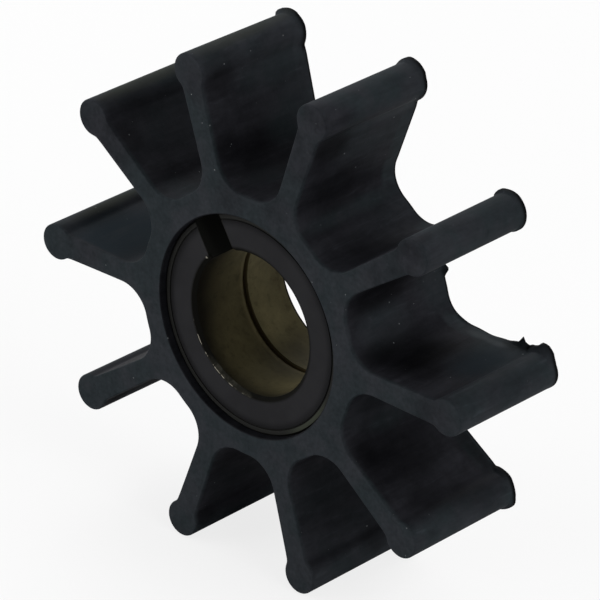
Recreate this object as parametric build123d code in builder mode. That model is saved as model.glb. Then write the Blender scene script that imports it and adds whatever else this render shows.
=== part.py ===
from build123d import *

import os
from math import hypot

# Flexible pump impeller: a moulded rubber body with straight radial vanes, bonded to a bronze drive bush.
# The shaft axis runs along Y and the drive face looks towards -Y.
# The impeller stands on two vane tips, +Z up, with one vane along +X.
# The origin is on the shaft axis, midway along the rubber. Lengths are millimetres, angles degrees.

# Rubber body
tip_diameter = 96.0
body_length = 24.7
vane_count = 10
root_diameter = 48.4       # bottom of the pockets between the vanes
root_fillet = 5.8          # a vane's flank runs into the pocket's bottom
web_at_hub = 3.75          # thickness of a vane where it leaves the hub
web_at_bulb = 4.75         # thickness of a vane at the centre of its bulb
bulb_diameter = 6.6        # round head that wipes the pump's wall
neck_fillet = 1.75         # hollow between a bulb and its web
face_edge_break = 0.25     # softened edges of both moulded end faces

# Lip that the mould leaves round each bulb at the back face
lip_height = 0.7
lip_length = 1.0

# Drive bush
bush_diameter = 40.0
bush_recess = 1.25         # each end of the bush sits this far below the rubber
bush_edge_break = 0.4
bore_diameter = 26.1
drive_chamfer = 0.6        # on the bore's edge at the drive end
back_chamfer = 0.4
key_width = 6.35
key_angle = 122.3          # direction of the key slot, from +X towards +Z
groove_start = 11.85       # from the bush's drive end to the groove round its bore
groove_width = 1.2
groove_depth = 0.85
line_diameter = 37.5       # fine turned line on each end of the bush
line_width = 0.3
line_depth = 0.15

# Worked out from the sizes above
root_radius = root_diameter / 2
bulb_radius = bulb_diameter / 2
bulb_centre = tip_diameter / 2 - bulb_radius
bush_radius = bush_diameter / 2
bore_radius = bore_diameter / 2
bush_length = body_length - 2 * bush_recess
back_plane = Plane.XZ.offset(-body_length / 2)
bush_back_plane = Plane.XZ.offset(-bush_length / 2)
TOLERANCE = 0.01


def corners_between(sketch, inner, outer):
    """Corners of a sketch that lie between two radii from the shaft axis."""
    return sketch.vertices().filter_by(lambda corner: inner < hypot(corner.X, corner.Y) < outer)


# Rubber body: hub, webs and bulbs make one outline with rounded inside corners, drawn out along the axis
with BuildPart() as impeller_body:
    with BuildSketch(back_plane) as outline:
        Circle(root_radius)
        with PolarLocations(0, vane_count):
            Polygon(
                (bush_radius, -web_at_hub / 2),
                (bulb_centre, -web_at_bulb / 2),
                (bulb_centre, web_at_bulb / 2),
                (bush_radius, web_at_hub / 2),
                align=None,
            )
        with PolarLocations(bulb_centre, vane_count):
            Circle(bulb_radius)
        fillet(corners_between(outline, root_radius - TOLERANCE, root_radius + TOLERANCE), root_fillet)
        fillet(corners_between(outline, bulb_centre - bulb_radius, bulb_centre), neck_fillet)
        Circle(bush_radius, mode=Mode.SUBTRACT)
    extrude(amount=body_length)
    with BuildSketch(back_plane):
        with PolarLocations(bulb_centre, vane_count):
            Circle(bulb_radius + lip_height)
    extrude(amount=lip_length)
    for end_face in (impeller_body.faces().sort_by(Axis.Y)[0], impeller_body.faces().sort_by(Axis.Y)[-1]):
        chamfer(end_face.edges(), face_edge_break)

# Drive bush: its section is revolved about the shaft axis, then slotted through its whole wall for the key
with BuildPart() as drive_bush:
    with BuildSketch(Plane.XY) as section:
        with Locations(((bush_radius + bore_radius) / 2, 0)):
            Rectangle(bush_radius - bore_radius, bush_length)
        bore_corners = section.vertices().group_by(Axis.X)[0].sort_by(Axis.Y)
        chamfer(bore_corners[0], drive_chamfer)
        chamfer(bore_corners[-1], back_chamfer)
        chamfer(section.vertices().group_by(Axis.X)[-1], bush_edge_break)
        with Locations((bore_radius, groove_start + (groove_width - bush_length) / 2)):
            Rectangle(2 * groove_depth, groove_width, mode=Mode.SUBTRACT)
        with Locations((line_diameter / 2, -bush_length / 2), (line_diameter / 2, bush_length / 2)):
            Rectangle(line_width, 2 * line_depth, mode=Mode.SUBTRACT)
    revolve(axis=Axis.Y)
    with BuildSketch(bush_back_plane):
        with PolarLocations(bush_radius, 1, start_angle=key_angle):
            Rectangle(2 * (bush_radius - bore_radius + drive_chamfer), key_width)
    extrude(amount=bush_length, mode=Mode.SUBTRACT)

impeller_body.part.label = "impeller_body"
drive_bush.part.label = "drive_bush"

os.makedirs("parts", exist_ok=True)
for piece in (impeller_body.part, drive_bush.part):
    export_step(piece, f"parts/{piece.label}.step")
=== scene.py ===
"""Flexible pump impeller, dressed: a moulded rubber body on its bronze drive bush.

It stands on two vane tips, with its drive face towards -Y.
"""

from math import atan2, ceil, cos, degrees, pi, radians, sin

import bmesh
import bpy
from mathutils import Matrix, Vector

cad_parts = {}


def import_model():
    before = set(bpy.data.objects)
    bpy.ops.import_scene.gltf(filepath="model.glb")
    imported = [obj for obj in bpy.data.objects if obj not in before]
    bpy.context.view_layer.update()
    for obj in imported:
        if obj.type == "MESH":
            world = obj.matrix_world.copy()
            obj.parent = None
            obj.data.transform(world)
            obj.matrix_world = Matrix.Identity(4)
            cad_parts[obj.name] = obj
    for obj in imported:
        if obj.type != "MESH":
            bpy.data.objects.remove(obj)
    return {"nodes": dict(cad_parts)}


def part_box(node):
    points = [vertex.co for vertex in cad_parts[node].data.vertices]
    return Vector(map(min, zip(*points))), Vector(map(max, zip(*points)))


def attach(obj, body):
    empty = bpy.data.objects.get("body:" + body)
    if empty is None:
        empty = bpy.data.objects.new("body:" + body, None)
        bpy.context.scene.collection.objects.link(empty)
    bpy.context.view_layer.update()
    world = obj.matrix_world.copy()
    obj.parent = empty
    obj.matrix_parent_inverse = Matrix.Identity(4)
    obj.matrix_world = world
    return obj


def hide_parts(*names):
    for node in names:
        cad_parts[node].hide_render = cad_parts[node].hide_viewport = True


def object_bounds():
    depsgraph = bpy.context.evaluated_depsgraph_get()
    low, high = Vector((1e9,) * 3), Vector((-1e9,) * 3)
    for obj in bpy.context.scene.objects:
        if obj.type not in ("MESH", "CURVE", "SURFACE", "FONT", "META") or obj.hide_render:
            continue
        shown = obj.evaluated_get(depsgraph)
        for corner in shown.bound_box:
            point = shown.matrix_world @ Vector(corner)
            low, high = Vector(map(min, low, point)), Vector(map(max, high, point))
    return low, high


MM = 0.001

# Camera: angles in degrees, distances in metres
CAMERA_AZIMUTH = 42.39
CAMERA_ELEVATION = 27.57
CAMERA_ROLL = 1.37
CAMERA_DISTANCE = 0.835
CAMERA_LENS = 295.8
CAMERA_NEAR = 0.01
SENSOR_WIDTH = 36.0
AIM_RIGHT = 0.8 * MM
AIM_UP = 0.6 * MM

# Light: the world's strength, and each square lamp's place in metres and power in watts
ROOM_LIGHT = 0.25
LAMP_SIZE = 1.0
LAMPS = {
    "front_lamp": ((-0.91, -0.91, 0.23), 14.5),
    "side_lamp": ((1.12, 0.0, 0.65), 10.0),
    "rear_lamp": ((-0.59, 0.59, 1.0), 8.5),
    "left_lamp": ((-1.28, 0.0, 0.23), 5.0),
}

# Floor: how far it reaches in metres, its grey, and how much of it the eye sees as plain white
FLOOR_REACH = 4.0
FLOOR_GREY = 0.86
FLOOR_WHITE = 0.8

# Rubber body, millimetres
VANE_COUNT = 10
VANE_STEP = 2 * pi / VANE_COUNT
BUSH_RADIUS = 20.0
ROOT_RADIUS = 24.2
ROOT_FILLET = 5.8
WEB_AT_HUB = 3.75
WEB_AT_BULB = 4.75
BULB_RADIUS = 3.3
NECK_FILLET = 1.75
CAD_LIP_HEIGHT = 0.7
RECESS_DEPTH = 1.25
EDGE_ROUND = 0.25

# Mesh of the body: length of a step along the outline, steps along the shaft up to the lips and over them,
# steps round the hole and round an edge, how near points are one, and the least angle of an edge to round
OUTLINE_STEP = 0.5
BODY_STEPS = 22
LIP_STEPS = 10
HOLE_STEPS = 200
EDGE_STEPS = 3
SAME_PLACE = 0.01
SHARP_ANGLE = 1.2

# How the moulding has set, millimetres: how far each vane's tip stands out and sideways from its place,
# first at the drive face, then at the back. Sideways it grows faster towards the tip.
SETTLED = (
    ((0.3, 0.35), (0.05, 0.0)),
    ((0.3, -0.1), (0.1, 0.0)),
    ((0.1, 0.0), (0.0, 0.0)),
    ((0.1, 0.1), (0.0, -0.5)),
    ((0.25, -0.25), (0.15, -0.2)),
    ((0.42, 0.3), (0.0, 0.05)),
    ((0.53, 0.0), (0.15, 0.1)),
    ((0.42, -0.3), (0.2, -0.1)),
    ((0.15, -0.35), (0.1, -0.1)),
    ((0.0, -0.1), (0.25, 0.9)),
)
SIDEWAYS_GROWTH = 1.5

# Lips at the back: where they begin and where they are full, from the back face, and their usual height;
# where a vane's lip is uneven, its height by direction from the bulb's centre, in degrees from straight out
LIP_START = 1.5
LIP_FULL = 0.8
LIP_HEIGHT = 0.45
UNEVEN_LIPS = {
    0: ((-90, 0.05), (30, 0.03), (45, 0.3), (60, 1.0), (75, 1.55), (90, 1.6), (105, 0.85), (120, 0.7),
        (150, 0.5)),
    1: ((-90, 0.28), (-60, 0.25), (-30, 0.21), (0, 0.25), (30, 0.38), (60, 0.36), (90, 0.58), (105, 0.5),
        (120, 0.15), (150, 0.1)),
    2: ((-140, 0.3), (-90, 0.18), (-50, 0.12), (-30, 0.42), (0, 0.58), (25, 0.7), (45, 0.5), (70, 0.3),
        (90, 0.4), (150, 0.3)),
    3: ((-105, 0.12), (-60, 0.28), (-45, 0.3), (-30, 0.48), (0, 0.6), (30, 0.85), (45, 0.4), (60, 0.3),
        (120, 0.3)),
    9: ((-60, 0.6), (-45, 0.55), (-30, 0.5), (0, 0.58), (30, 0.1), (45, 0.0), (60, 0.0), (75, 0.15),
        (90, 0.4), (105, 0.45), (135, 0.6)),
}

# Mould draft of the pockets: how much thicker a web is on each side, at the drive face and at the back,
# and how far the pockets' bottoms stand out at the back. Both come in or fade over these shares of the way
# from a vane's root to its tip.
WEB_DRAFT = (-0.08, 0.25)
WEB_DRAFT_GROWS = (0, 0.25)
WEB_DRAFT_FADES = (0.68, 0.8)
BOTTOM_DRAFT = 0.2
BOTTOM_DRAFT_FADES = (0, 0.3)

# Flash along the back edge: where it begins and where it is full, from the back face; then for each place the
# angle and radius of its middle, its reach, its height (a hollow below 0), and the direction in which it stands
FLASH_START = 0.9
FLASH_FULL = 0.3
FLASH = (
    (3.4, 39.3, 2.4, 0.5, 90), (3.6, 41.2, 2.2, 0.85, 90), (3.4, 40.25, 0.75, 1.1, 90),
    (4.2, 42.4, 1.5, 0.45, 90), (5.0, 27.0, 3.5, 0.24, 80), (4.1, 33.6, 3.4, -0.3, 90),
    (25.0, 24.2, 1.4, 1.3, 25),
)


# ---------------------------------------------------------------- shader maths


class Value:
    """A shader socket that takes part in arithmetic; each operation adds its own Math node."""

    def __init__(self, nodes, socket):
        self.nodes = nodes
        self.socket = socket

    def other(self, output):
        """Another output of the same node."""
        return Value(self.nodes, self.socket.node.outputs[output])

    def _math(self, operation, first, second=None):
        inputs = {0: first} if second is None else {0: first, 1: second}
        return self.nodes.node("ShaderNodeMath", {"operation": operation}, inputs)

    def __add__(self, other):
        return self._math("ADD", self, other)

    def __radd__(self, other):
        return self._math("ADD", other, self)

    def __sub__(self, other):
        return self._math("SUBTRACT", self, other)

    def __rsub__(self, other):
        return self._math("SUBTRACT", other, self)

    def __mul__(self, other):
        return self._math("MULTIPLY", self, other)

    def __rmul__(self, other):
        return self._math("MULTIPLY", other, self)

    def __pow__(self, other):
        return self._math("POWER", self, other)

    def absolute(self):
        return self._math("ABSOLUTE", self)

    def above(self, edge):
        return self._math("GREATER_THAN", self, edge)

    def largest(self, other):
        return self._math("MAXIMUM", self, other)

    def ramp(self, low, high):
        """0 up to low, 1 from high on, smooth between them."""
        inputs = {"Value": self, "From Min": low, "From Max": high}
        return self.nodes.node("ShaderNodeMapRange", {"interpolation_type": "SMOOTHSTEP"}, inputs)

    def near(self, middle, width):
        """1 at middle, 0 from width away on, smooth between them."""
        return 1 - (self - middle).absolute().ramp(0, width)


class Nodes:
    """Adds and feeds the nodes of one tree."""

    def __init__(self, tree):
        self.tree = tree

    def node(self, kind, settings=None, inputs=None, output=0):
        """Adds a node, sets it up, feeds its sockets and gives one of its outputs."""
        made = self.tree.nodes.new(kind)
        for name, value in (settings or {}).items():
            setattr(made, name, value)
        for name, value in (inputs or {}).items():
            self.feed(made.inputs[name], value)
        return Value(self, made.outputs[output])

    def feed(self, socket, value):
        """Links a value to a socket, or sets a plain number or colour on it."""
        if isinstance(value, Value):
            self.tree.links.new(value.socket, socket)
        else:
            socket.default_value = value


class Shader(Nodes):
    """The nodes of one material, with one Principled surface."""

    def __init__(self, name):
        self.material = bpy.data.materials.new(name)
        self.material.use_nodes = True
        super().__init__(self.material.node_tree)
        self.surface = self.tree.nodes["Principled BSDF"]
        self.place = self.node("ShaderNodeTexCoord", output="Object")

    def set(self, **values):
        """Feeds the surface's sockets, as in set(Base_Color=tone, Roughness=0.5)."""
        for name, value in values.items():
            self.feed(self.surface.inputs[name.replace("_", " ")], value)

    def axes(self):
        """The three Object coordinates in millimetres."""
        x = self.node("ShaderNodeSeparateXYZ", inputs={0: self.place})
        return [part * (1 / MM) for part in (x, x.other("Y"), x.other("Z"))]

    def stretched(self, scale):
        """Object coordinates scaled differently along each axis."""
        return self.node("ShaderNodeMapping", inputs={"Vector": self.place, "Scale": scale})

    def noise(self, scale, detail=3.0, roughness=0.5, place=None, distortion=0.0):
        inputs = {"Vector": place or self.place, "Scale": scale, "Detail": detail}
        inputs.update({"Roughness": roughness, "Distortion": distortion})
        return self.node("ShaderNodeTexNoise", inputs=inputs)

    def specks(self, spacing, share, size):
        """Scattered dots: one in each cell of about `spacing` metres, in a share of the cells."""
        inputs = {"Vector": self.place, "Scale": 1 / spacing}
        away = self.node("ShaderNodeTexVoronoi", {"feature": "F1"}, inputs, output="Distance")
        chosen = self.node("ShaderNodeSeparateColor", inputs={0: away.other("Color")})
        chance = chosen.above(1 - share)
        reach = (chosen - (1 - share)) * (size / spacing / share)
        return chance * (reach - away).above(0)

    def spot(self, middle, reach, length=1.0):
        """1 in the middle of a spot given in millimetres, 0 from its reach on.

        Length stretches the spot along the shaft.
        """
        point = (middle[0] * MM, middle[1] * MM / length, middle[2] * MM)
        place = self.stretched((1, 1 / length, 1))
        away = self.node("ShaderNodeVectorMath", {"operation": "DISTANCE"}, {0: place, 1: point}, output=1)
        return 1 - away.ramp(reach * MM * 0.25, reach * MM)

    def blend(self, factor, first, second):
        """A colour between two colours."""
        inputs = {0: factor, 6: first, 7: second}
        return self.node("ShaderNodeMix", {"data_type": "RGBA"}, inputs, output=2)

    def scaled(self, tone, factor):
        """A colour made lighter or darker."""
        return self.node("ShaderNodeVectorMath", {"operation": "SCALE"}, {0: tone, "Scale": factor})

    def bump(self, height, distance, strength):
        """A surface normal from a height."""
        inputs = {"Height": height, "Distance": distance, "Strength": strength}
        return self.node("ShaderNodeBump", inputs=inputs)


def colour(red, green, blue):
    return (red, green, blue, 1.0)


def towards(x, z, angle):
    """How far a place lies out in one direction square to the shaft, in degrees from +X towards +Z."""
    return x * cos(radians(angle)) + z * sin(radians(angle))


# ---------------------------------------------------------------- rubber finish


# Each spot is its middle in millimetres, its reach, its strength and its length along the shaft, which goes
# from the drive face at -12.35 to the back at 12.35. Here bloom, and in some spots painted light, lies in the
# pockets and on the webs:
BLOOM_AND_LIGHT_SPOTS = (
    ((-36, -5, 2), 13, 0.75, 1.5), ((-18, 0, 20.5), 6, 0.4, 2), ((-8.4, 9.5, 34), 6, 0.6, 1.5),
    ((-7.3, 5.5, 30.5), 6.5, 1, 1.2), ((22.7, -1, -12.6), 3, 0.8, 2.5), ((-3, -4, 24.4), 3, 0.6, 2.5),
    ((43, 8, 3), 9, 0.8, 1), ((36, 9, 2.5), 5, 0.9, 1.5), ((-18, -8, 19), 6, 0.7, 1),
    ((15, 3, 36), 8, 0.5, 2), ((23.5, -4, 5.7), 6, 0.9, 1.5), ((9, 8, 36), 12, 0.3, 1),
    ((-10.6, 5, 40.4), 7, 0.8, 2), ((15, 6.4, 19), 6, 0.4, 2), ((-25, -3, 26), 8, 0.5, 2),
    ((24, -4, -9), 6, 0.3, 2), ((23, -8, -10), 4, 0.4, 1.5), ((15, -1, 39.5), 3, 0.9, 4),
    ((12, -5, -30), 7, 0.4, 2), ((14, -3, -37), 8, 0.35, 2), ((-9.5, -5, -36), 6, 0.2, 2),
    ((-29, 1, 24), 8, 0.45, 2), ((24, 10, 9), 7, 0.8, 1), ((11.75, 1, 21.8), 2.4, 0.9, 7),
    ((23, -5, 7), 5, 0.5, 1.5), ((12, -5, -29.5), 6, 0.3, 2),
)
# Here the bloom is rubbed off the drive face and the crowns, and in some spots painted shade darkens them:
WORN_AND_SHADED_SPOTS = (
    ((-33, -12, 24), 10, 0.75, 1), ((-12, -12, 41), 5, 0.6, 1), ((13, -12, 38), 6, 0.5, 1),
    ((11, -12, 33), 4, 0.5, 1), ((30, -12, 21), 6, 0.5, 1), ((36, -12, 26), 6, 0.7, 1),
    ((42, -12, 0), 6, 0.6, 1), ((7, -12, 24), 6, 0.4, 1), ((17, -10, 43), 5, 0.9, 1.5),
    ((-4, -12, 22.5), 5, 0.5, 1), ((14, -12, 44), 4, 0.5, 1), ((-38, -12, 2), 6, 0.5, 1),
    ((36, -12, 28), 3, 0.3, 1), ((48, 0, 1), 6, 0.3, 1.5), ((38.8, 7, -23.5), 6, 0.5, 1),
    ((-10, 0, 45), 7, 0.4, 2),
)
# Here painted shade makes the rubber blackest, off the end faces:
SHADED_SPOTS = (
    ((11, -3, 26.5), 7, 0.5, 1.5), ((22.5, -5, 12.3), 5, 0.7, 2.2), ((28, -3, 2), 8, 0.6, 1.4),
    ((25.5, -7, 3), 3, 0.3, 2), ((28, -3, -17), 9, 0.4, 1.5), ((-10.7, -8.2, 40.8), 3.5, 0.5, 1.5),
    ((-6.8, -3.5, 28), 5, 0.4, 1.2), ((-34, -7, 29.5), 4, 0.25, 2), ((-11.5, -8, 44), 4, 0.3, 1.5),
    ((-28, -9, 2), 8, 0.2, 1.5), ((33, 4, 2.3), 5, 0.3, 1.5), ((37, 4, -23), 5, 0.35, 2),
    ((20, -9, 27), 4, 0.6, 1.2), ((-42, -3, 2.4), 5, 0.5, 1.5), ((14.4, -8, 36.8), 6, 0.7, 1.2),
    ((18.5, -1, 17.5), 4, 0.3, 2), ((-33, -8.5, -27), 4, 0.6, 1), ((17.5, -3, 40), 4, 0.25, 2),
    ((22.6, 1, 11.8), 3.5, 0.35, 2), ((38.5, 4.5, 2.4), 4, 0.2, 1.5), ((30, -2, 2.3), 6, 0.4, 1.5),
    ((26.2, -8.5, 2.8), 3, 0.35, 2), ((34, -5.3, 2.2), 5, 0.5, 1.2), ((32, 11, -20), 8.5, 0.65, 0.5),
    ((34.5, -5, -22), 3.5, 0.45, 1.5), ((23.2, -5, -8), 4, 0.3, 1.5), ((39, 11.5, 2.8), 3, 0.6, 1),
    ((-10.9, -10, -42), 4, 0.5, 1.2), ((24.8, -9.2, -15.5), 4, 0.5, 1), ((-29.6, -10, 24.3), 4, 0.5, 1),
    ((16.3, 4, -40.5), 4, 0.45, 1.3), ((-7.6, -9.2, 30), 4, 0.45, 1),
)
# Smears of another colour, off the end faces: olive on three crowns, a pale painted highlight towards the back
# of two webs, and blue-black along two
OLIVE = colour(0.026, 0.0285, 0.018)
PAINTED_HIGHLIGHT = colour(0.052, 0.058, 0.062)
TEAL = colour(0.0025, 0.0075, 0.0115)
TINTED_SPOTS = (
    ((-44.7, 0, 3.4), 2.0, 0.45, 7, OLIVE), ((-36.2, 0, 29.8), 2.4, 0.55, 7, OLIVE),
    ((-13.8, 0, 46), 2.6, 0.35, 7, OLIVE), ((32.5, 10.2, 2.4), 4, 0.4, 0.35, PAINTED_HIGHLIGHT),
    ((36.3, 10, 2.4), 3.2, 0.5, 0.4, PAINTED_HIGHLIGHT), ((15.3, 7.5, 39.3), 2.2, 0.45, 3.5, PAINTED_HIGHLIGHT),
    ((-35, -5, 2.1), 12, 0.9, 1.5, TEAL), ((39, 3, 2.4), 7, 0.75, 1.3, TEAL),
)

# Bare rubber and bloomed rubber, each from one end of its range to the other, and the dust
BARE_DARK = colour(0.0092, 0.0095, 0.0117)
BARE_PALE = colour(0.0180, 0.0186, 0.0224)
BLOOM_BLUE = colour(0.0180, 0.0236, 0.0266)
BLOOM_GREY = colour(0.0210, 0.0236, 0.0274)
FINE_DUST = colour(0.15, 0.16, 0.165)
DUST = colour(0.40, 0.42, 0.42)

# Zones of the rubber, millimetres, each from where it starts to where it is full: along the shaft from the
# middle of the body, then out from the shaft
END_FACE = (11.2, 12.3)
BACK_BAND = (8.2, 9.4)
BACK_EDGE = (11.6, 12.1)
BULB_BACK_EDGE = (11.1, 11.8)
BACK_FACE = (12.2, 12.34)
OUT_OF_RECESS = (20.0, 20.3)
OUT_OF_HOLE = (20.1, 20.3)
OUT_OF_POCKET = (24.2, 26.0)
BULBS = (40.5, 42.0)
CROWNS = (42.0, 46.0)

# Scales of the patterns that run along the shaft, and the depth of the rubber's bump in metres
STREAK_SCALE = (300, 40, 300)
SCUFF_SCALE = (750, 130, 750)
RUBBER_BUMP = 0.00010


def moulded_rubber():
    """Black rubber: a grey-blue bloom on what is handled, smears along the axis in the pockets, pale dust,
    painted light and shade in spots, and painted shade along the back edge and in the hole.
    """
    shader = Shader("moulded_rubber")
    x, y, z = shader.axes()
    radius = (x * x + z * z) ** 0.5
    cloud = shader.noise(130, detail=4.0, roughness=0.6)
    blotch = shader.noise(280, detail=2.0, roughness=0.6)
    patches = shader.noise(520, detail=4.0, roughness=0.7)
    mottle = shader.noise(1300, detail=2.0)
    grain = shader.noise(2600, detail=2.0)
    streaks = shader.noise(1.0, detail=4.0, roughness=0.6, place=shader.stretched(STREAK_SCALE))
    scuffs = shader.noise(1.0, detail=5.0, roughness=0.65, place=shader.stretched(SCUFF_SCALE), distortion=0.5)

    # Bloom: on the end faces, along the back, on the crowns and in spots, some of them painted light; other
    # spots take it off, partly rubbed off and partly painted shade
    end_faces = y.absolute().ramp(*END_FACE) * radius.ramp(*OUT_OF_RECESS)
    back_band = y.ramp(*BACK_BAND) * radius.ramp(*OUT_OF_POCKET) * (0.5 + blotch.ramp(0.35, 0.6) * 0.5)
    crowns = radius.ramp(*CROWNS) * (1.0 + (streaks - 0.5) * 0.9 + (blotch - 0.5) * 0.6)
    bloom = end_faces.largest(back_band).largest(crowns)
    for middle, reach, strength, length in BLOOM_AND_LIGHT_SPOTS:
        bloom = bloom.largest(shader.spot(middle, reach, length) * strength)
    for middle, reach, strength, length in WORN_AND_SHADED_SPOTS:
        bloom = bloom * (1 - shader.spot(middle, reach, length) * strength)
    bloom = bloom * (0.92 + (cloud - 0.5) * 0.5 + (blotch - 0.5) * 0.4)
    smear = (streaks - 0.5) * 1.1 + (patches - 0.5) * 0.15 + (cloud - 0.5) * 0.5
    bare = shader.blend((smear + 0.5).ramp(0.25, 0.75), BARE_DARK, BARE_PALE)
    bloomed = shader.blend(cloud.ramp(0.38, 0.62), BLOOM_BLUE, BLOOM_GREY)
    tone = shader.blend(bloom, bare, bloomed)

    # Depth: how much lighter or darker each place is at random, with painted shade making it blackest in spots,
    # along the back edge and in the hole
    mottled = 0.2 + end_faces * 0.4
    depth = 1 + (cloud - 0.5) * 0.3 + ((patches - 0.5) + (mottle - 0.5)) * mottled
    scuffed = (scuffs - 0.5) * 0.7 + scuffs.ramp(0.58, 0.72) * 0.3
    depth = depth * (1 + scuffed * (1 - end_faces))
    for middle, reach, strength, length in SHADED_SPOTS:
        depth = depth * (1 - shader.spot(middle, reach, length) * (1 - end_faces) * strength)
    # Painted shade along the back edge and round the back of the bulbs' lips
    bulb_edge_shade = y.ramp(*BULB_BACK_EDGE) * radius.ramp(*BULBS)
    back_edge_shade = (y.ramp(*BACK_EDGE) * 0.8).largest(bulb_edge_shade * 0.88)
    depth = depth * (1 - back_edge_shade * (1 - y.ramp(*BACK_FACE)))
    # Painted shade on the wall of the hole
    depth = depth * (0.5 + radius.ramp(*OUT_OF_HOLE) * 0.5)
    tone = shader.scaled(tone, depth)
    for middle, reach, strength, length, tint in TINTED_SPOTS:
        share = shader.spot(middle, reach, length) * (1 - end_faces) * (0.6 + streaks.ramp(0.3, 0.6) * 0.4)
        tone = shader.blend(share * strength, tone, tint)

    # Dust: fine specks all over, larger ones where it has settled
    settled = shader.noise(70, detail=2.0).ramp(0.45, 0.62)
    fine_dust = shader.specks(1.5 * MM, 0.35, 0.15 * MM) * (0.25 + settled * 0.75)
    tone = shader.blend(fine_dust * 0.8, tone, FINE_DUST)
    tone = shader.blend(shader.specks(2.6 * MM, 0.22, 0.17 * MM) * settled, tone, DUST)

    height = grain * 0.3 + streaks * 0.5 + patches * 0.4
    shader.set(Base_Color=tone, Roughness=0.6 + cloud * 0.1 - streaks * 0.1)
    shader.set(Specular_IOR_Level=0.02, Normal=shader.bump(height, RUBBER_BUMP, 0.6))
    return shader.material


# ---------------------------------------------------------------- bronze finish


# Bore, from its mouth inwards, its light and shade painted in, and what is cut into it, darkened by painted
# shade and, in the key slot, by a dark coat
BORE_MOUTH = colour(0.0078, 0.0065, 0.0037)
BORE_MIDDLE = colour(0.080, 0.069, 0.034)
GROOVE_EDGE_HIGHLIGHT = colour(0.115, 0.097, 0.049)
PAST_GROOVE = colour(0.123, 0.107, 0.055)
BORE_END = colour(0.042, 0.036, 0.018)
GROOVE_FLOOR = colour(0.060, 0.045, 0.022)
SLOT_DEPTHS = colour(0.008, 0.0085, 0.0075)
SLOT_WALLS = colour(0.0085, 0.0089, 0.0078)

# End faces and the mouth of the bore, whose darkness is partly its coat and partly painted shade, and painted
# glints
COAT_DARK = colour(0.0140, 0.0140, 0.0153)
COAT_PALE = colour(0.0176, 0.0176, 0.0191)
OUTER_RING = colour(0.0148, 0.0150, 0.0140)
OUTER_RING_LIT = colour(0.036, 0.040, 0.030)
TURNED_LINE_TONE = colour(0.0060, 0.0060, 0.0056)
MOUTH_TONE = colour(0.0055, 0.0054, 0.0046)
RUBBED_TONE = colour(0.034, 0.033, 0.026)
GLINT = colour(0.36, 0.34, 0.28)

# Scale of the turning, depth of the bronze's bump in metres, and spots, each with its middle in millimetres and
# its reach: the painted shade in the bore, with their strength, a painted pool of light on the outer ring, and
# one lone painted glint
TURNING_SCALE = (60, 2600, 60)
BRONZE_BUMP = 0.00005
SHADED_BORE_SPOTS = (((-2.5, 2, -12.8), 8.5, 0.6), ((-4, 7.5, -12.4), 6.5, 0.4), ((-7.5, -9.5, 11), 5, 0.5))
LIT_RING_SPOT = ((14.3, -11.1, -12.9), 8)
GLINT_SPOT = ((-10.35, -10.95, 9.0), 0.3)

# Directions square to the shaft, degrees from +X towards +Z: of the key slot, and of where the rim of the
# mouth is rubbed and where it glints
KEY_SLOT_ANGLE = 122.3
RUBBED_ANGLE = 248.5
GLINT_ANGLE = 231.0

# Zones of the bush, millimetres, each from where it starts to where it is full: along the shaft from the
# middle of the bush, then out from the shaft, then out in the directions above, and from the slot's middle line
BUSH_END = (11.03, 11.09)
TURNED_LINE_FLOOR = (10.7, 10.8)
CHAMFER = (10.35, 10.5)
CUT_END = (10.4, 10.5)
CUT_WALLS = (13.1, 13.3)
MOUTH_RIM = (13.5, 14.2)
RUBBED_RIM = (13.7, 13.9)
SLOT_DEEP = (13.9, 14.4)
CHAMFER_RIM = (14.0, 14.4)
COAT_DARKENS = (17.2, 18.65)
TURNED_LINE_INSIDE = (18.4, 18.5)
TURNED_LINE_OUTSIDE = (18.8, 18.95)
BUSH_RIM = (19.5, 19.6)
INTO_SLOT = (12.4, 12.8)
INTO_RUBBED = (12.1, 12.9)
INTO_GLINTS = (11.0, 12.4)
OUT_OF_SLOT = (3.28, 3.4)

# Zones along the bore, millimetres from the middle of the bush towards the back; the glints' radius and width;
# and the bore's lowest part, where the painted light comes sooner, so that it is as bright as the rest is this
# much further in
MOUTH_SHADE = (-10.4, -7.5)
BORE_BRIGHTENS = (-10.0, -0.5)
BEFORE_GROOVE = (0.4, 0.6)
GROOVE_END = (1.8, 2.0)
BORE_DARKENS = (2.0, 10.5)
GLINT_RIM = (13.70, 0.10)
LOW_PART = (2.0, 12.0)
LOW_PART_AHEAD = 3.5


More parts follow.
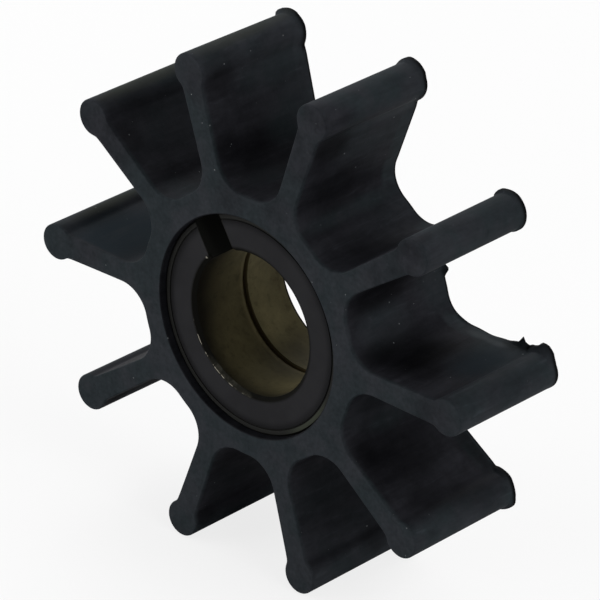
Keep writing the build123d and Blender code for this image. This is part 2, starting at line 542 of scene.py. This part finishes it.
def bush_bronze():
    """Dull bronze in the bore with its light and shade painted in, a dark coat on the end faces, bright metal
    where the rim is rubbed, and painted glints.
    """
    shader = Shader("bush_bronze")
    x, y, z = shader.axes()
    radius = (x * x + z * z) ** 0.5
    from_middle = y.absolute()
    cloud = shader.noise(150, detail=4.0, roughness=0.6)
    blotch = shader.noise(420, detail=4.0, roughness=0.7)
    rub = shader.noise(620, detail=3.0, roughness=0.7)
    pits = shader.noise(900, detail=2.0).ramp(0.54, 0.70)
    turned = shader.noise(1.0, detail=2.0, place=shader.stretched(TURNING_SCALE))

    # Zones: the end faces with the line turned in them, the chamfers, and what is cut into the bore
    at_end = from_middle.ramp(*BUSH_END)
    turned_line = radius.ramp(*TURNED_LINE_INSIDE) * from_middle.ramp(*TURNED_LINE_FLOOR) * (1 - at_end)
    end_face = at_end.largest(turned_line)
    chamfer = from_middle.ramp(*CHAMFER) * (1 - radius.ramp(*CHAMFER_RIM))
    cut = radius.ramp(*CUT_WALLS) * (1 - from_middle.ramp(*CUT_END)) * (1 - radius.ramp(*BUSH_RIM))
    across_slot = towards(x, z, KEY_SLOT_ANGLE + 90).absolute()
    slot = (1 - across_slot.ramp(*OUT_OF_SLOT)) * towards(x, z, KEY_SLOT_ANGLE).ramp(*INTO_SLOT)

    # Bore: painted light and shade, dark at the mouth, brighter towards the groove, sooner low down, with a
    # painted highlight just before the groove, brightest just behind it and darker again at the back
    inwards = y + (0 - z).ramp(*LOW_PART) * LOW_PART_AHEAD
    bare = shader.blend(inwards.ramp(*BORE_BRIGHTENS), BORE_MOUTH, BORE_MIDDLE)
    bare = shader.blend(y.near(*BEFORE_GROOVE) * 0.75, bare, GROOVE_EDGE_HIGHLIGHT)
    bare = shader.blend(y.ramp(*GROOVE_END), bare, PAST_GROOVE)
    bare = shader.blend(y.ramp(*BORE_DARKENS) * 0.8, bare, BORE_END)
    wear_and_shade = 1 + (cloud - 0.5) * 0.5 + (blotch - 0.5) * 0.9 - pits * 0.2
    # Painted shade: darker towards the mouth and in spots
    wear_and_shade = wear_and_shade * (0.6 + y.ramp(*MOUTH_SHADE) * 0.4)
    for middle, reach, strength in SHADED_BORE_SPOTS:
        wear_and_shade = wear_and_shade * (1 - shader.spot(middle, reach) * strength)
    bare = shader.scaled(bare, wear_and_shade)
    # Painted shade deep in the groove and the key slot
    cut_tone = shader.blend(radius.ramp(*SLOT_DEEP), GROOVE_FLOOR, SLOT_DEPTHS)
    tone = shader.blend(cut, bare, cut_tone)

    # End faces: a dark coat, darkest inside the turned line, and a paler ring outside it with a painted pool of
    # light on its lower right
    coat = shader.blend(cloud.ramp(0.3, 0.7), COAT_DARK, COAT_PALE)
    coat = shader.scaled(coat, 1 - radius.ramp(*COAT_DARKENS) * 0.55)
    ring = shader.blend(shader.spot(*LIT_RING_SPOT), OUTER_RING, OUTER_RING_LIT)
    coat = shader.blend(radius.ramp(*TURNED_LINE_OUTSIDE), coat, ring)
    coat = shader.blend(turned_line, coat, TURNED_LINE_TONE)
    tone = shader.blend(end_face, tone, coat)
    # The key slot's walls: a dark coat and painted shade
    tone = shader.blend(slot, tone, SLOT_WALLS)

    # Mouth of the bore: dark, partly from its coat and partly painted shade, rubbed low on its front rim, with
    # painted glints on the left
    mouth = end_face.largest(chamfer) * (1 - radius.ramp(*MOUTH_RIM))
    tone = shader.blend(mouth, tone, MOUTH_TONE)
    front = (0 - y).ramp(*CHAMFER)
    rubbed = towards(x, z, RUBBED_ANGLE).ramp(*INTO_RUBBED) * front * (1 - radius.ramp(*RUBBED_RIM))
    tone = shader.blend(rubbed * (0.35 + rub.ramp(0.45, 0.6) * 0.65), tone, RUBBED_TONE)
    # Painted glints along the rim low on the left, and one lone painted glint by the key slot
    low_left = towards(x, z, GLINT_ANGLE).ramp(*INTO_GLINTS)
    rim = radius.near(*GLINT_RIM) * front * low_left * rub.ramp(0.50, 0.56)
    rim = rim.largest(shader.spot(*GLINT_SPOT))
    tone = shader.blend(rim, tone, GLINT)

    shader.set(Base_Color=tone, Metallic=(1 - end_face) * (1 - cut) * (1 - mouth) * 0.2)
    shader.set(Roughness=0.55 + mouth * 0.4 + cloud * 0.1 - rim * 0.2, Specular_IOR_Level=0.03)
    shader.set(Normal=shader.bump(turned * 0.5 + cloud * 0.5, BRONZE_BUMP, 0.5))
    return shader.material


# ---------------------------------------------------------------- the rubber moulding


def add_piece(name, form, material, scale=MM):
    """Makes an object at the origin from a bmesh, in millimetres unless another scale is given."""
    bmesh.ops.scale(form, vec=(scale, scale, scale), verts=form.verts)
    mesh = bpy.data.meshes.new(name)
    form.to_mesh(mesh)
    form.free()
    mesh.materials.append(material)
    piece = bpy.data.objects.new(name, mesh)
    bpy.context.scene.collection.objects.link(piece)
    return piece


def spin(form, geometry, steps, centre=(0, 0, 0), angle=0, offset=(0, 0, 0)):
    """Turns geometry about +Y, or carries it by an offset at each step; gives the last step's geometry."""
    spun = bmesh.ops.spin(form, geom=geometry, cent=centre, axis=(0, 1, 0), dvec=offset, angle=angle,
                          steps=steps)
    return spun["geom_last"]


def only_vert(geometry):
    """The single vertex of a spin's last step."""
    return [item for item in geometry if isinstance(item, bmesh.types.BMVert)][0]


def draw_line(form, vert, end):
    """A straight run of even steps from a vertex to a point; gives the last vertex."""
    step = end - vert.co
    count = max(1, ceil(step.length / OUTLINE_STEP))
    return only_vert(spin(form, [vert], count, offset=step / count))


def draw_arc(form, vert, centre, end, turn):
    """An arc about a centre from a vertex to the direction of a point; turn is 1 or -1 about +Y."""
    start = vert.co - centre
    stop = end - centre
    angle = start.angle(stop) * turn
    count = max(2, ceil(abs(angle) * start.length / OUTLINE_STEP))
    return only_vert(spin(form, [vert], count, centre=centre, angle=angle))


def fillet_centre(radius, side, along, across, hub, hub_radius, outwards):
    """Centre of a round that touches a web's side and the circle about hub, from outside both."""
    start = side + across * radius - hub
    middle = start.dot(along)
    reach = (middle ** 2 - start.length_squared + (hub_radius + radius) ** 2) ** 0.5
    return hub + start + along * (reach * outwards - middle)


def vane_outline(form, tip_radius, face):
    """One side of a vane, from the crown of its bulb to the middle of the pocket's bottom."""
    axis = Vector((0, face, 0))
    bulb = Vector((tip_radius - BULB_RADIUS, face, 0))
    side = Vector((BUSH_RADIUS, face, WEB_AT_HUB / 2))
    along = (Vector((bulb.x, face, WEB_AT_BULB / 2)) - side).normalized()
    across = Vector((-along.z, 0, along.x))
    neck = fillet_centre(NECK_FILLET, side, along, across, bulb, BULB_RADIUS, -1)
    root = fillet_centre(ROOT_FILLET, side, along, across, axis, ROOT_RADIUS, 1)
    vert = form.verts.new((tip_radius, face, 0))
    vert = draw_arc(form, vert, bulb, neck, -1)
    vert = draw_arc(form, vert, neck, neck - across, 1)
    vert = draw_line(form, vert, root - across * ROOT_FILLET)
    vert = draw_arc(form, vert, root, axis, 1)
    pocket = Vector((cos(VANE_STEP / 2), face, sin(VANE_STEP / 2)))
    return draw_arc(form, vert, axis, pocket, -1)


def sweep(form, geometry, stations):
    """Carries an outline along Y from the first station to the last."""
    for start, stop in zip(stations, stations[1:]):
        geometry = spin(form, geometry, 1, offset=(0, stop - start, 0))


def even(start, stop, count):
    """Even stations from start to stop, both among them."""
    return [start + (stop - start) * step / count for step in range(count + 1)]


def lies_at(edge, height):
    """Whether an edge lies in the plane at one height along the shaft."""
    return all(abs(vert.co.y - height) < SAME_PLACE for vert in edge.verts)


def close_face(form, height):
    """Fills the flat ring between the outline and the hole at one end."""
    rim = [edge for edge in form.edges if edge.is_boundary and lies_at(edge, height)]
    bmesh.ops.triangle_fill(form, use_beauty=True, use_dissolve=False, edges=rim, normal=(0, height, 0))


def round_corners(form, heights):
    """Rounds the sharp edges round the end faces."""
    corners = [edge for edge in form.edges if any(lies_at(edge, height) for height in heights)
               and edge.calc_face_angle(0) > SHARP_ANGLE]
    bmesh.ops.bevel(form, geom=corners, offset=EDGE_ROUND, offset_type="OFFSET", segments=EDGE_STEPS,
                    profile=0.5, affect="EDGES", clamp_overlap=False, material=-1)


def smooth(value, low, high):
    """0 up to low, 1 from high on, smooth between them."""
    share = min(1.0, max(0.0, (value - low) / (high - low)))
    return share * share * (3 - 2 * share)


def polar(radius, angle):
    """A point or an offset square to the shaft, from its length and its angle in degrees."""
    return Vector((radius * cos(radians(angle)), 0, radius * sin(radians(angle))))


def between(first, second, share):
    return first + (second - first) * share


def lip_height(number, angle):
    """Height of a vane's back lip in one direction from its bulb's centre, in degrees from straight out."""
    heights = UNEVEN_LIPS.get(number)
    if heights is None:
        return LIP_HEIGHT
    for (start, low), (end, high) in zip(heights, heights[1:] + heights[:1]):
        span = (end - start) % 360
        turn = (angle - start) % 360
        if turn <= span:
            return between(low, high, smooth(turn, 0, span))


def settle(form, back, tip_radius):
    """Raises the back lips, pulls out the flash, gives the pockets their draft and sets each vane."""
    for vert in form.verts:
        flat = Vector((vert.co.x, 0, vert.co.z))
        number = round(atan2(flat.z, flat.x) / VANE_STEP) % VANE_COUNT
        along = polar(1, degrees(number * VANE_STEP))
        across = Vector((-along.z, 0, along.x))
        depth = (vert.co.y + back) / (2 * back)
        out = max(0.0, (flat.dot(along) - ROOT_RADIUS) / (tip_radius - ROOT_RADIUS))
        shift = Vector()

        from_bulb = flat - along * (tip_radius - BULB_RADIUS)
        lip = smooth(vert.co.y, back - LIP_START, back - LIP_FULL)
        angle = degrees(atan2(from_bulb.dot(across), from_bulb.dot(along)))
        reach = BULB_RADIUS + lip_height(number, angle) * lip
        if lip and from_bulb.length < reach:
            shift += from_bulb.normalized() * (reach - from_bulb.length)

        flash = smooth(vert.co.y, back - FLASH_START, back - FLASH_FULL)
        for middle, radius, spread, height, direction in FLASH:
            share = max(0.0, 1 - (flat - polar(radius, middle)).length / spread)
            shift += polar(height, direction) * smooth(share, 0, 1) * flash

        side = 1 if flat.dot(across) > 0 else -1
        web = smooth(out, *WEB_DRAFT_GROWS) * (1 - smooth(out, *WEB_DRAFT_FADES))
        shift += across * (side * between(*WEB_DRAFT, depth) * web)
        shift += flat.normalized() * (BOTTOM_DRAFT * depth * (1 - smooth(out, *BOTTOM_DRAFT_FADES)))

        (out_in_front, side_in_front), (out_behind, side_behind) = SETTLED[number]
        shift += along * (between(out_in_front, out_behind, depth) * out)
        shift += across * (between(side_in_front, side_behind, depth) * out ** SIDEWAYS_GROWTH)
        vert.co += shift


def rubber_moulding(low, high, material):
    """The rubber body: a vane's outline, mirrored and repeated, carried along the shaft, set and finished."""
    front, back = low.y / MM, high.y / MM
    tip_radius = high.x / MM - CAD_LIP_HEIGHT
    form = bmesh.new()
    vane_outline(form, tip_radius, front)
    bmesh.ops.mirror(form, geom=form.verts[:] + form.edges[:], matrix=Matrix.Identity(4), axis="Z",
                     merge_dist=SAME_PLACE)
    bmesh.ops.spin(form, geom=form.verts[:] + form.edges[:], cent=(0, 0, 0), axis=(0, 1, 0),
                   angle=VANE_STEP * (VANE_COUNT - 1), steps=VANE_COUNT - 1, use_duplicate=True)
    bmesh.ops.remove_doubles(form, verts=form.verts, dist=SAME_PLACE)
    lips = back - LIP_START
    stations = even(front, lips, BODY_STEPS)[:-1] + even(lips, back, LIP_STEPS)
    sweep(form, form.verts[:] + form.edges[:], stations)
    settle(form, back, tip_radius)

    hole = bmesh.ops.create_circle(form, segments=HOLE_STEPS, radius=BUSH_RADIUS,
                                   matrix=Matrix.Rotation(pi / 2, 4, "X"))
    bmesh.ops.translate(form, verts=hole["verts"], vec=(0, front, 0))
    ring = set(hole["verts"])
    ring_edges = [edge for edge in form.edges if ring.issuperset(edge.verts)]
    sweep(form, hole["verts"] + ring_edges, [front, front + RECESS_DEPTH, back - RECESS_DEPTH, back])
    close_face(form, front)
    close_face(form, back)
    bmesh.ops.recalc_face_normals(form, faces=form.faces)
    round_corners(form, (front, back))
    for face in form.faces:
        face.smooth = True
    piece = add_piece("rubber_moulding", form, material)
    piece.modifiers.new("even_shading", "WEIGHTED_NORMAL")
    return piece


# ---------------------------------------------------------------- stage, light and camera


def pale_floor():
    """A matt pale floor, nearly white to the eye, that takes the impeller's shadow."""
    shader = Shader("pale_floor")
    shader.set(Base_Color=colour(FLOOR_GREY, FLOOR_GREY, FLOOR_GREY), Roughness=0.9, Specular_IOR_Level=0.0)
    to_the_eye = shader.node("ShaderNodeLightPath", output="Is Camera Ray")
    matt = Value(shader, shader.surface.outputs[0])
    white = shader.node("ShaderNodeEmission")
    mix = shader.node("ShaderNodeMixShader", inputs={0: to_the_eye * FLOOR_WHITE, 1: matt, 2: white})
    shader.feed(shader.tree.nodes["Material Output"].inputs[0], mix)
    return shader.material


def floor_under(low):
    """A wide floor at the height of the lowest point."""
    form = bmesh.new()
    bmesh.ops.create_grid(form, x_segments=1, y_segments=1, size=FLOOR_REACH)
    bmesh.ops.translate(form, verts=form.verts, vec=(0, 0, low.z))
    add_piece("floor", form, pale_floor(), 1)


def soft_lamp(name, where, power):
    """A square lamp that faces the impeller."""
    lamp = bpy.data.lights.new(name, "AREA")
    lamp.shape = "SQUARE"
    lamp.size = LAMP_SIZE
    lamp.energy = power
    holder = bpy.data.objects.new(name, lamp)
    bpy.context.scene.collection.objects.link(holder)
    holder.location = where
    holder.rotation_euler = Vector(where).to_track_quat("Z", "Y").to_euler()


def soft_room(light):
    """An even world: white to the eye and in reflections, dimmer as light."""
    world = bpy.data.worlds.new("soft_room")
    bpy.context.scene.world = world
    world.use_nodes = True
    room = Nodes(world.node_tree)
    ray = room.node("ShaderNodeLightPath", output="Is Camera Ray")
    seen = ray.largest(ray.other("Is Glossy Ray")).largest(ray.other("Is Transmission Ray"))
    strength = room.node("ShaderNodeMapRange", inputs={"Value": seen, "To Min": light})
    background = room.tree.nodes["Background"]
    room.feed(background.inputs["Color"], colour(1, 1, 1))
    room.feed(background.inputs["Strength"], strength)


def camera():
    """The camera, rolled a little, aimed just beside the middle of the bore."""
    azimuth, elevation, roll = (radians(angle) for angle in (CAMERA_AZIMUTH, CAMERA_ELEVATION, CAMERA_ROLL))
    back = Vector((sin(azimuth) * cos(elevation), -cos(azimuth) * cos(elevation), sin(elevation)))
    level = Vector((cos(azimuth), sin(azimuth), 0))
    above = back.cross(level)
    right = level * cos(roll) + above * sin(roll)
    up = above * cos(roll) - level * sin(roll)
    data = bpy.data.cameras.new("camera")
    data.lens = CAMERA_LENS
    data.sensor_width = SENSOR_WIDTH
    data.clip_start = CAMERA_NEAR
    holder = bpy.data.objects.new("camera", data)
    bpy.context.scene.collection.objects.link(holder)
    aim = right * AIM_RIGHT + up * AIM_UP
    turn = Matrix((right, up, back)).transposed().to_4x4()
    holder.matrix_world = Matrix.Translation(aim + back * CAMERA_DISTANCE) @ turn
    bpy.context.scene.camera = holder


def main():
    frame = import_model()
    cad_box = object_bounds()
    nodes = frame["nodes"]

    low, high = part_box("impeller_body")
    moulding = rubber_moulding(low, high, moulded_rubber())
    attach(moulding, "root")
    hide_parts("impeller_body")

    bush = nodes["drive_bush"]
    bush.data.materials.clear()
    bush.data.materials.append(bush_bronze())

    floor_under(cad_box[0])
    soft_room(ROOM_LIGHT)
    for name, (where, power) in LAMPS.items():
        soft_lamp(name, where, power)
    camera()
    bpy.context.scene.view_settings.view_transform = "Standard"


main()
